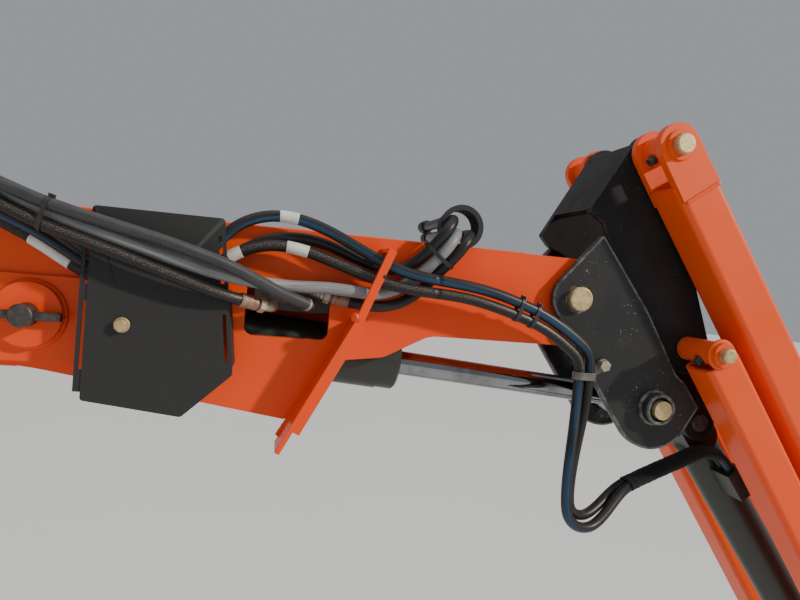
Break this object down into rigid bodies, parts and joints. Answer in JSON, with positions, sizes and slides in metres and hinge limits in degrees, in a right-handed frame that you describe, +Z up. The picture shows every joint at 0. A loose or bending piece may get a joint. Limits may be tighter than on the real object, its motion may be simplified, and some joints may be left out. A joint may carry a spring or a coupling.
{
  "type": "boom lift boom nose with jib",
  "caption": "Front end of an articulating boom lift: boom nose, levelling cylinder, pivoting knuckle and parallelogram jib with its lift cylinder and platform bracket.",
  "frame": {"origin": "centre of the boom tube's rear end, the boom tube mount", "axes": "+X along the boom to the jib, +Y to the side away from the hoses, +Z up across the boom"},
  "size_m": [1.8534, 0.2896, 1.2551],
  "materials": {
    "orange_paint": "gloss, sun-faded",
    "black_paint": "satin, scratched",
    "cover_black": "matte",
    "cylinder_black": "satin",
    "rod_chrome": "polished",
    "pin_zinc": "yellow zinc plated",
    "pin_dark": "oxidised",
    "hose_rubber": "matte, dusty",
    "conduit_black": "ribbed, satin",
    "cable_grey": "matte",
    "woven_black": "woven",
    "steel_grey": "dull"
  },
  "bodies": {
    "boom": {"nose_side_near": "orange_paint", "nose_side_far": "orange_paint", "nose_top_plate": "orange_paint", "nose_belly_plate": "orange_paint", "nose_closing_plate": "orange_paint", "pivot_tube": "orange_paint", "base_doubler_near": "orange_paint", "base_doubler_far": "orange_paint", "base_pin": "pin_dark", "keeper_rod": "pin_dark", "hose_cover": "cover_black", "cover_standoff": "pin_zinc", "hose_guide": "orange_paint", "retainer_bar": "orange_paint", "crossover_tube": "cover_black", "conduit_hose": "conduit_black", "feed_hose": "hose_rubber", "grey_cable": "cable_grey", "low_hose": "hose_rubber", "outer_hose": "hose_rubber", "inner_hose": "hose_rubber", "high_hose": "hose_rubber", "outer_bend": "hose_rubber", "inner_bend": "hose_rubber", "hose_end_plate": "black_paint", "hose_couplings": "pin_zinc", "valve_block": "steel_grey", "hose_fittings": "pin_zinc"},
    "level_barrel": {"level_barrel": "cylinder_black"},
    "level_rod": {"level_rod": "rod_chrome"},
    "knuckle": {"cheek_near": "black_paint", "cheek_far": "black_paint", "shield_near": "black_paint", "shield_far": "black_paint", "knuckle_front_plate": "black_paint", "knuckle_floor_plate": "black_paint", "jib_lugs": "black_paint", "main_pin": "pin_zinc", "upper_link_pin": "pin_zinc", "lower_link_pin": "pin_zinc", "jib_base_pin": "pin_zinc", "rod_pin_collars": "black_paint", "rod_pin_ends": "pin_zinc", "outer_loop": "hose_rubber", "inner_loop": "hose_rubber", "loop_sleeve": "woven_black", "hose_clamp": "pin_zinc"},
    "upper_links": {"upper_link_near": "orange_paint", "upper_link_far": "orange_paint"},
    "lower_links": {"lower_link_near": "orange_paint", "lower_link_far": "orange_paint", "jib_pin_ends": "pin_zinc"},
    "jib_barrel": {"jib_barrel": "cylinder_black"},
    "jib_rod": {"jib_rod": "rod_chrome"},
    "platform_bracket": {"bracket_cheek_near": "black_paint", "bracket_cheek_far": "black_paint", "platform_plate": "black_paint", "bracket_upper_pin": "pin_zinc", "bracket_lower_pin": "pin_zinc"}
  },
  "joints": [
    {"name": "level", "type": "hinge", "parent": "boom", "child": "knuckle", "pos_m": [0.9, 0, 0.038], "axis": [0, 1, 0], "range_deg": [0, 85], "deforming": ["outer_bend", "inner_bend"]},
    {"name": "level_barrel_swing", "type": "hinge", "parent": "boom", "child": "level_barrel", "pos_m": [0.25, 0, -0.032], "axis": [0, 1, 0], "range_deg": [-0.5, 3.07]},
    {"name": "level_rod_slide", "type": "slide", "parent": "level_barrel", "child": "level_rod", "axis": [0.9962, 0, -0.0871], "range_m": [-0.2567, 0.002]},
    {"name": "jib_lift", "type": "hinge", "parent": "knuckle", "child": "lower_links", "pos_m": [1.0736, 0, -0.0163], "axis": [0, -1, 0], "range_deg": [-2.5, 124], "deforming": ["outer_loop", "inner_loop", "loop_sleeve"]},
    {"name": "upper_link_swing", "type": "hinge", "parent": "knuckle", "child": "upper_links", "pos_m": [0.9853, 0, 0.2386], "axis": [0, -1, 0], "range_deg": [-3, 124.5]},
    {"name": "bracket_level", "type": "hinge", "parent": "lower_links", "child": "platform_bracket", "pos_m": [1.74141, 0, -0.95253], "axis": [0, -1, 0], "range_deg": [-124.5, 3]},
    {"name": "jib_barrel_swing", "type": "hinge", "parent": "knuckle", "child": "jib_barrel", "pos_m": [1.121, 0, -0.124], "axis": [0, -1, 0], "range_deg": [-3.07, 128.13]},
    {"name": "jib_rod_slide", "type": "slide", "parent": "jib_barrel", "child": "jib_rod", "axis": [0.6135, 0, -0.7897], "range_m": [-0.006, 0.2073]}
  ],
  "couplings": [
    {"joint": "level_barrel_swing", "follows": "level", "ratio": 0.030223},
    {"joint": "level_rod_slide", "follows": "level", "m_per_rad": -0.17033},
    {"joint": "upper_link_swing", "follows": "jib_lift", "ratio": 1},
    {"joint": "bracket_level", "follows": "jib_lift", "ratio": -1},
    {"joint": "jib_barrel_swing", "follows": "jib_lift", "ratio": 1.0293},
    {"joint": "jib_rod_slide", "follows": "jib_lift", "m_per_rad": 0.093929}
  ]
}
